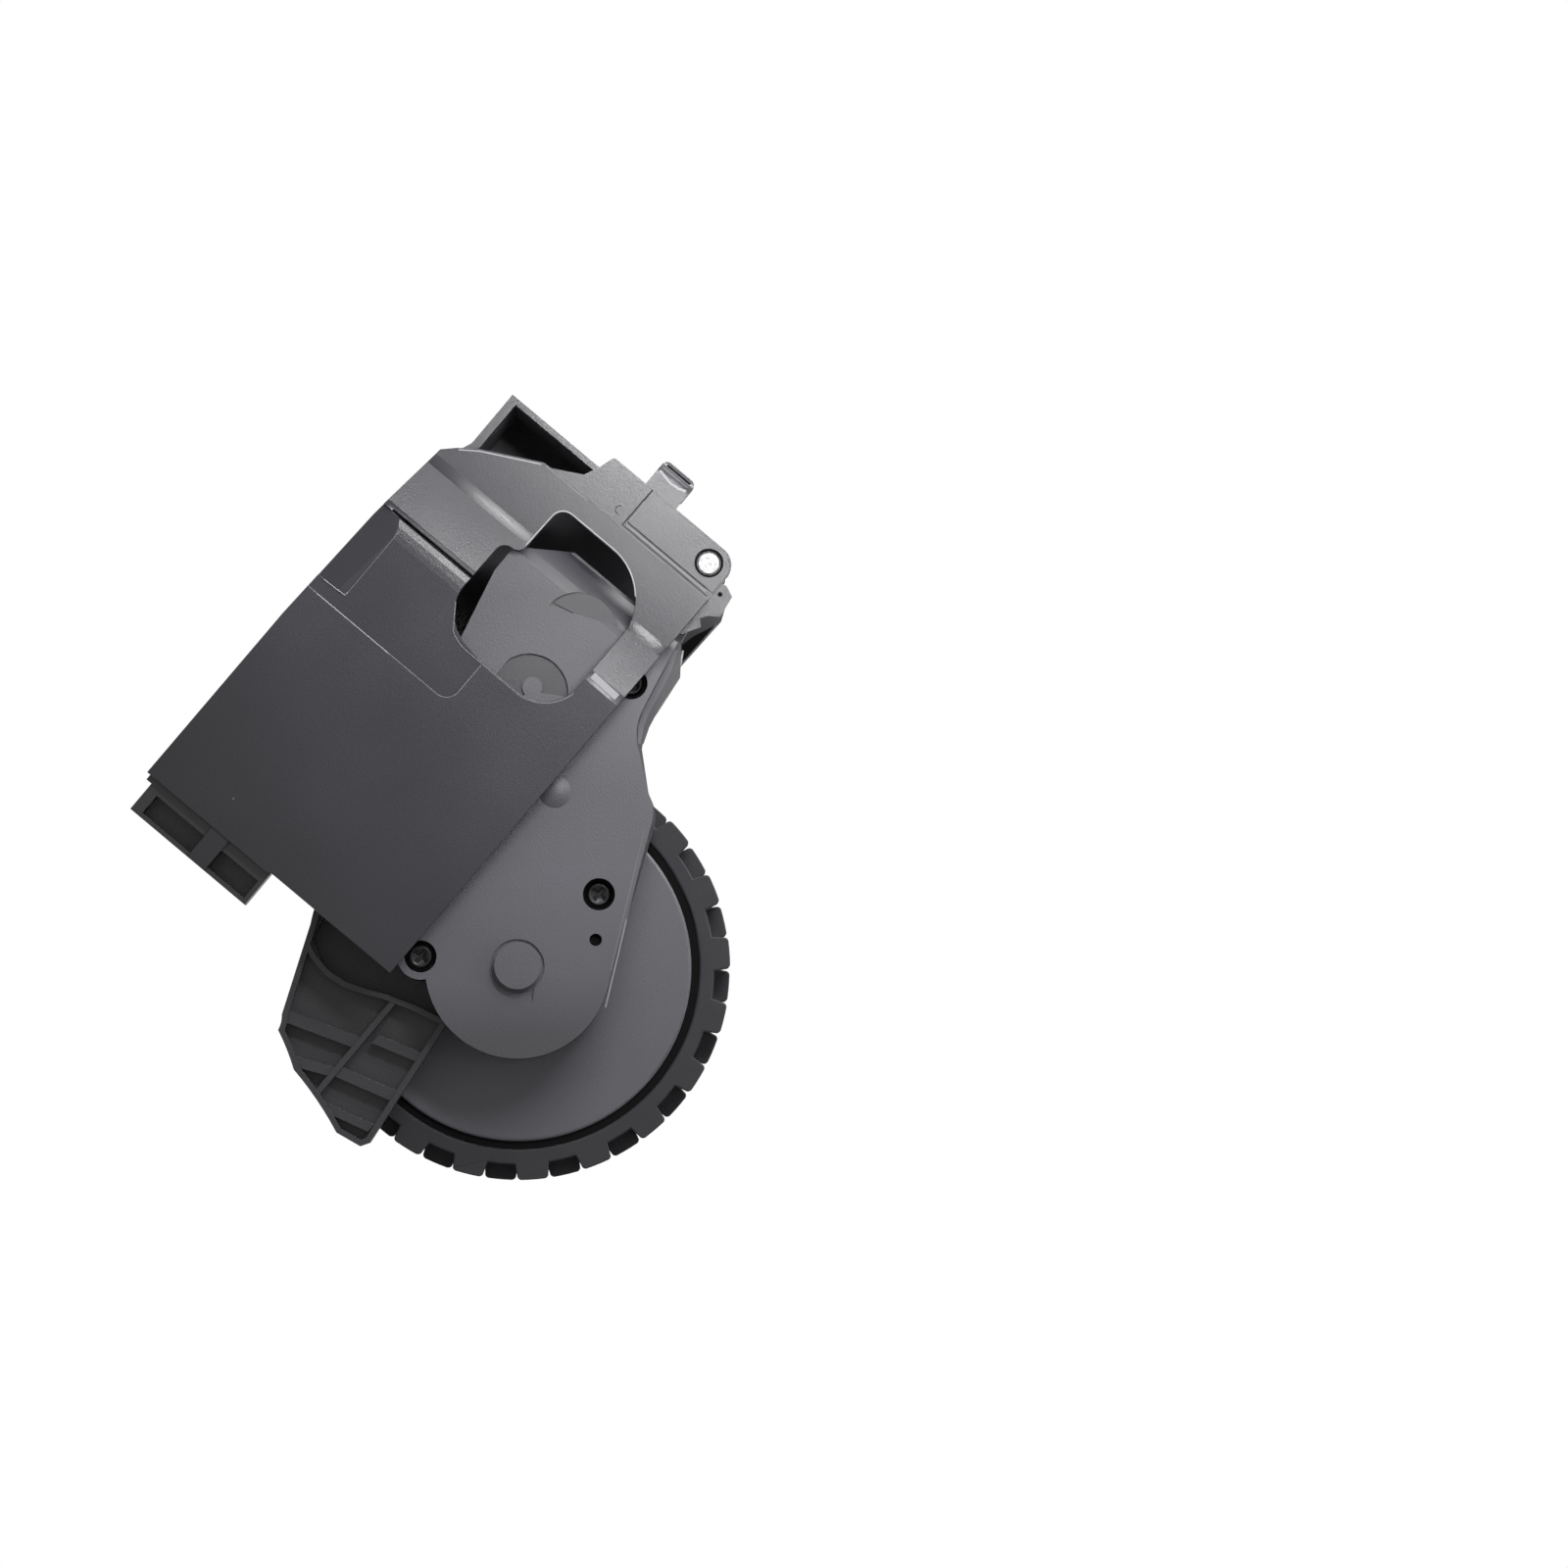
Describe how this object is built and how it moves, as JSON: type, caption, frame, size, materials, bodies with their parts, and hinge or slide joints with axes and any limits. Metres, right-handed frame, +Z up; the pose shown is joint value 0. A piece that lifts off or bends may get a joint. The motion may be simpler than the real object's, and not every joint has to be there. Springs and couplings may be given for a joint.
{
  "type": "robot vacuum wheel module",
  "caption": "Sprung drive wheel module: treaded wheel and geared motor on a swinging arm under a covered frame with screw holes, pivot pin and cable hook.",
  "frame": {"origin": "top of the left fixing hole, on the end block", "axes": "+Z up as fitted in the robot, +X from the wheel towards the arm's pivot, +Y from the inner cover towards the wheel, along the axle"},
  "size_m": [0.1222, 0.0462, 0.1041],
  "materials": {
    "frame_plastic": "moulded, fine satin",
    "cover_plastic": "moulded, satin",
    "base_plastic": "moulded, fine texture",
    "lid_plastic": "moulded, satin",
    "hub_plastic": "moulded, fine satin",
    "gear_plastic": "acetal, waxy",
    "tyre_rubber": "matt",
    "pin_steel": "ground",
    "spring_steel": "drawn wire",
    "screw_steel": "black zinc",
    "motor_steel": "zinc plated",
    "motor_cap": "moulded",
    "copper": "bare",
    "brass": "turned",
    "bronze": "sintered",
    "magnet": "plain",
    "board": "solder mask",
    "connector": "moulded"
  },
  "bodies": {
    "frame": {"frame_shell": "frame_plastic", "inner_cover": "cover_plastic", "outer_cover": "frame_plastic", "outer_cover_screws": "screw_steel", "pivot_pin": "pin_steel", "pin_clip": "spring_steel", "return_spring": "spring_steel"},
    "arm": {"gearbox_base": "base_plastic", "gearbox_cover": "lid_plastic", "gearbox_screws": "screw_steel", "first_gear_axle": "pin_steel", "second_gear_axle": "pin_steel", "output_bush": "bronze", "output_bearing": "pin_steel", "motor_can": "motor_steel", "motor_end_cap": "motor_cap", "motor_terminals": "copper", "motor_screws": "screw_steel", "encoder_board": "board", "board_connector": "connector"},
    "rotor": {"motor_shaft": "pin_steel", "motor_pinion": "brass", "encoder_magnet": "magnet"},
    "gear_one": {"first_gear": "gear_plastic"},
    "gear_two": {"second_gear": "gear_plastic"},
    "wheel": {"output_shaft": "pin_steel", "output_gear": "gear_plastic", "wheel_hub": "hub_plastic", "hub_washer": "spring_steel", "hub_screw": "screw_steel", "tyre": "tyre_rubber"}
  },
  "joints": [
    {"name": "arm_swing", "type": "hinge", "parent": "frame", "child": "arm", "pos_m": [0.0911, 0.0189, -0.0476], "axis": [0, 1, 0], "range_deg": [0, 22], "stiffness_Nm_per_rad": 0.9, "springref_deg": -28.65, "deforming": ["return_spring"]},
    {"name": "wheel_spin", "type": "hinge", "parent": "arm", "child": "wheel", "pos_m": [0.0187, 0.0149, -0.0665], "axis": [0, 1, 0], "continuous": true},
    {"name": "gear_two_spin", "type": "hinge", "parent": "arm", "child": "gear_two", "pos_m": [0.0317, 0.0069, -0.05237], "axis": [0, 1, 0], "continuous": true},
    {"name": "gear_one_spin", "type": "hinge", "parent": "arm", "child": "gear_one", "pos_m": [0.04896, 0.0069, -0.04543], "axis": [0, 1, 0], "continuous": true},
    {"name": "motor_spin", "type": "hinge", "parent": "arm", "child": "rotor", "pos_m": [0.0637, 0.0199, -0.0351], "axis": [0, 1, 0], "continuous": true}
  ],
  "couplings": [
    {"joint": "gear_two_spin", "follows": "wheel_spin", "ratio": -2},
    {"joint": "gear_one_spin", "follows": "wheel_spin", "ratio": 6.8571},
    {"joint": "motor_spin", "follows": "wheel_spin", "ratio": -34.286}
  ]
}
